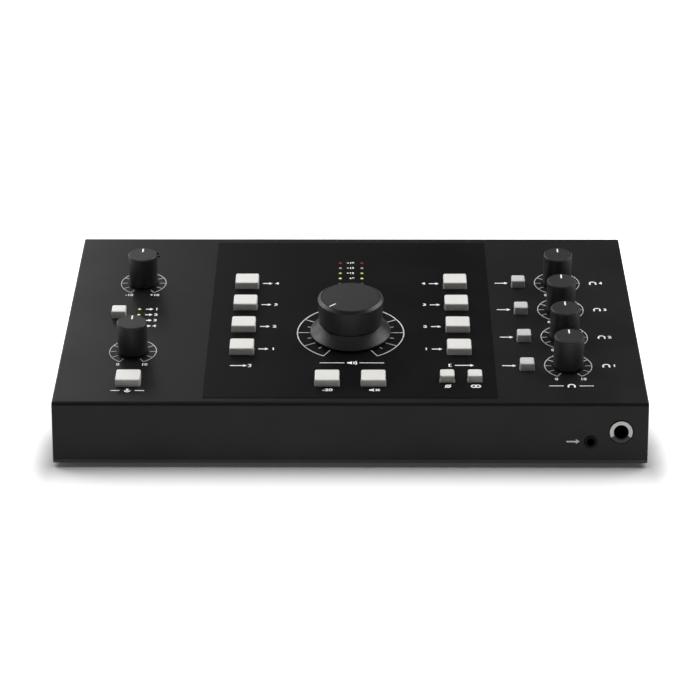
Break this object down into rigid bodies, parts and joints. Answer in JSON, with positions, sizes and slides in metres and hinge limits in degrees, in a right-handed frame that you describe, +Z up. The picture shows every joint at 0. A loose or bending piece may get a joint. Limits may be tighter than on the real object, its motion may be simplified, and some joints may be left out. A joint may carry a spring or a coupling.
{
  "type": "studio monitor controller",
  "caption": "Low sloping desktop case with a large skirted volume knob, small knobs, lit push buttons, a lamp meter, front headphone sockets and a rear panel of audio connectors.",
  "frame": {"origin": "bottom centre of the box that holds the whole object, on the plane of the feet", "axes": "+X to the user's right, +Y to the rear connectors, +Z up; the front face looks along -Y"},
  "size_m": [0.2764, 0.17, 0.0634],
  "materials": {
    "cover_paint": "fine textured dark paint",
    "tray_paint": "satin dark paint",
    "rear_paint": "fine textured dark paint",
    "overlay_film": "satin film",
    "foot_rubber": "matt",
    "boot_rubber": "matt",
    "screw_steel": "blackened",
    "circuit_board": "solder mask",
    "standoff_brass": "plain",
    "ribbon_grey": "ribbed",
    "can_steel": "pressed",
    "nut_chrome": "nickel plate",
    "dark_plastic": "moulded",
    "rocker_plastic": "moulded",
    "lamp_lens": "moulded lens",
    "plated_shell": "nickel plate",
    "relay_plastic": "moulded",
    "capacitor_sleeve": "shrunk sleeve",
    "knob_aluminium": "black anodised, turned",
    "skirt_aluminium": "black anodised, turned",
    "small_knob_aluminium": "black anodised, turned",
    "button_plastic": "translucent white cap"
  },
  "bodies": {
    "chassis": {"top_cover": "cover_paint", "base_tray": "tray_paint", "rear_panel": "rear_paint", "centre_overlay": "overlay_film", "rubber_feet": "foot_rubber", "case_screws": "screw_steel", "control_board": "circuit_board", "meter_board": "circuit_board", "main_board": "circuit_board", "jack_board": "circuit_board", "headphone_board": "circuit_board", "board_standoffs": "standoff_brass", "board_screws": "screw_steel", "ribbon_cable": "ribbon_grey", "volume_pot": "can_steel", "small_pots": "can_steel", "pot_nuts": "nut_chrome", "push_switches": "dark_plastic", "meter_lamps": "lamp_lens", "source_lamps": "lamp_lens", "talkback_mic": "boot_rubber", "front_jack": "dark_plastic", "front_jack_ring": "nut_chrome", "mini_jacks": "dark_plastic", "rear_jacks": "dark_plastic", "rear_jack_nuts": "nut_chrome", "phono_sockets": "plated_shell", "optical_socket": "dark_plastic", "power_inlet": "dark_plastic", "power_switch": "dark_plastic", "relays": "relay_plastic", "capacitors": "capacitor_sleeve", "amplifier_chips": "dark_plastic"},
    "volume_dial": {"volume_knob": "knob_aluminium", "volume_skirt": "skirt_aluminium"},
    "trim_knob_body": {"trim_knob": "small_knob_aluminium"},
    "talkback_knob_body": {"talkback_knob": "small_knob_aluminium"},
    "headphone_knob_1_body": {"headphone_knob_1": "small_knob_aluminium"},
    "headphone_knob_2_body": {"headphone_knob_2": "small_knob_aluminium"},
    "headphone_knob_3_body": {"headphone_knob_3": "small_knob_aluminium"},
    "headphone_knob_4_body": {"headphone_knob_4": "small_knob_aluminium"},
    "dim_button_body": {"dim_button": "button_plastic"},
    "cut_button_body": {"cut_button": "button_plastic"},
    "talkback_button_body": {"talkback_button": "button_plastic"},
    "input_button_1_body": {"input_button_1": "button_plastic"},
    "output_button_1_body": {"output_button_1": "button_plastic"},
    "input_button_2_body": {"input_button_2": "button_plastic"},
    "output_button_2_body": {"output_button_2": "button_plastic"},
    "input_button_3_body": {"input_button_3": "button_plastic"},
    "output_button_3_body": {"output_button_3": "button_plastic"},
    "input_button_4_body": {"input_button_4": "button_plastic"},
    "output_button_4_body": {"output_button_4": "button_plastic"},
    "polarity_button_body": {"polarity_button": "button_plastic"},
    "mono_button_body": {"mono_button": "button_plastic"},
    "digital_button_body": {"digital_button": "button_plastic"},
    "source_button_1_body": {"source_button_1": "button_plastic"},
    "source_button_2_body": {"source_button_2": "button_plastic"},
    "source_button_3_body": {"source_button_3": "button_plastic"},
    "source_button_4_body": {"source_button_4": "button_plastic"},
    "rocker_body": {"power_rocker": "rocker_plastic"}
  },
  "joints": [
    {"name": "volume_turn", "type": "hinge", "parent": "chassis", "child": "volume_dial", "pos_m": [0, -0.01867, 0.05163], "axis": [0, -0.1305, 0.9914], "range_deg": [-283.5, 16.5]},
    {"name": "trim_turn", "type": "hinge", "parent": "chassis", "child": "trim_knob_body", "pos_m": [-0.104, 0.03111, 0.05617], "axis": [0, -0.1305, 0.9914], "range_deg": [-150, 150]},
    {"name": "talkback_turn", "type": "hinge", "parent": "chassis", "child": "talkback_knob_body", "pos_m": [-0.104, -0.03611, 0.04732], "axis": [0, -0.1305, 0.9914], "range_deg": [-150, 150]},
    {"name": "headphone_1_turn", "type": "hinge", "parent": "chassis", "child": "headphone_knob_1_body", "pos_m": [0.1031, -0.0491, 0.04561], "axis": [0, -0.1305, 0.9914], "range_deg": [-150, 150]},
    {"name": "headphone_2_turn", "type": "hinge", "parent": "chassis", "child": "headphone_knob_2_body", "pos_m": [0.1031, -0.02228, 0.04914], "axis": [0, -0.1305, 0.9914], "range_deg": [-150, 150]},
    {"name": "headphone_3_turn", "type": "hinge", "parent": "chassis", "child": "headphone_knob_3_body", "pos_m": [0.1031, 0.00454, 0.05267], "axis": [0, -0.1305, 0.9914], "range_deg": [-150, 150]},
    {"name": "headphone_4_turn", "type": "hinge", "parent": "chassis", "child": "headphone_knob_4_body", "pos_m": [0.1031, 0.03136, 0.0562], "axis": [0, -0.1305, 0.9914], "range_deg": [-150, 150]},
    {"name": "dim_button_press", "type": "slide", "parent": "chassis", "child": "dim_button_body", "axis": [0, 0.1305, -0.9914], "range_m": [0, 0.0012], "stiffness_N_per_m": 800},
    {"name": "cut_button_press", "type": "slide", "parent": "chassis", "child": "cut_button_body", "axis": [0, 0.1305, -0.9914], "range_m": [0, 0.0012], "stiffness_N_per_m": 800},
    {"name": "talkback_button_press", "type": "slide", "parent": "chassis", "child": "talkback_button_body", "axis": [0, 0.1305, -0.9914], "range_m": [0, 0.0012], "stiffness_N_per_m": 800},
    {"name": "input_button_1_press", "type": "slide", "parent": "chassis", "child": "input_button_1_body", "axis": [0, 0.1305, -0.9914], "range_m": [0, 0.0012], "stiffness_N_per_m": 800},
    {"name": "output_button_1_press", "type": "slide", "parent": "chassis", "child": "output_button_1_body", "axis": [0, 0.1305, -0.9914], "range_m": [0, 0.0012], "stiffness_N_per_m": 800},
    {"name": "input_button_2_press", "type": "slide", "parent": "chassis", "child": "input_button_2_body", "axis": [0, 0.1305, -0.9914], "range_m": [0, 0.0012], "stiffness_N_per_m": 800},
    {"name": "output_button_2_press", "type": "slide", "parent": "chassis", "child": "output_button_2_body", "axis": [0, 0.1305, -0.9914], "range_m": [0, 0.0012], "stiffness_N_per_m": 800},
    {"name": "input_button_3_press", "type": "slide", "parent": "chassis", "child": "input_button_3_body", "axis": [0, 0.1305, -0.9914], "range_m": [0, 0.0012], "stiffness_N_per_m": 800},
    {"name": "output_button_3_press", "type": "slide", "parent": "chassis", "child": "output_button_3_body", "axis": [0, 0.1305, -0.9914], "range_m": [0, 0.0012], "stiffness_N_per_m": 800},
    {"name": "input_button_4_press", "type": "slide", "parent": "chassis", "child": "input_button_4_body", "axis": [0, 0.1305, -0.9914], "range_m": [0, 0.0012], "stiffness_N_per_m": 800},
    {"name": "output_button_4_press", "type": "slide", "parent": "chassis", "child": "output_button_4_body", "axis": [0, 0.1305, -0.9914], "range_m": [0, 0.0012], "stiffness_N_per_m": 800},
    {"name": "polarity_button_press", "type": "slide", "parent": "chassis", "child": "polarity_button_body", "axis": [0, 0.1305, -0.9914], "range_m": [0, 0.0012], "stiffness_N_per_m": 800},
    {"name": "mono_button_press", "type": "slide", "parent": "chassis", "child": "mono_button_body", "axis": [0, 0.1305, -0.9914], "range_m": [0, 0.0012], "stiffness_N_per_m": 800},
    {"name": "digital_button_press", "type": "slide", "parent": "chassis", "child": "digital_button_body", "axis": [0, 0.1305, -0.9914], "range_m": [0, 0.0012], "stiffness_N_per_m": 800},
    {"name": "source_button_1_press", "type": "slide", "parent": "chassis", "child": "source_button_1_body", "axis": [0, 0.1305, -0.9914], "range_m": [0, 0.0012], "stiffness_N_per_m": 800},
    {"name": "source_button_2_press", "type": "slide", "parent": "chassis", "child": "source_button_2_body", "axis": [0, 0.1305, -0.9914], "range_m": [0, 0.0012], "stiffness_N_per_m": 800},
    {"name": "source_button_3_press", "type": "slide", "parent": "chassis", "child": "source_button_3_body", "axis": [0, 0.1305, -0.9914], "range_m": [0, 0.0012], "stiffness_N_per_m": 800},
    {"name": "source_button_4_press", "type": "slide", "parent": "chassis", "child": "source_button_4_body", "axis": [0, 0.1305, -0.9914], "range_m": [0, 0.0012], "stiffness_N_per_m": 800},
    {"name": "power_rock", "type": "hinge", "parent": "chassis", "child": "rocker_body", "pos_m": [-0.11498, 0.07606, 0.02465], "axis": [1, 0, 0], "range_deg": [-15, 0]}
  ]
}
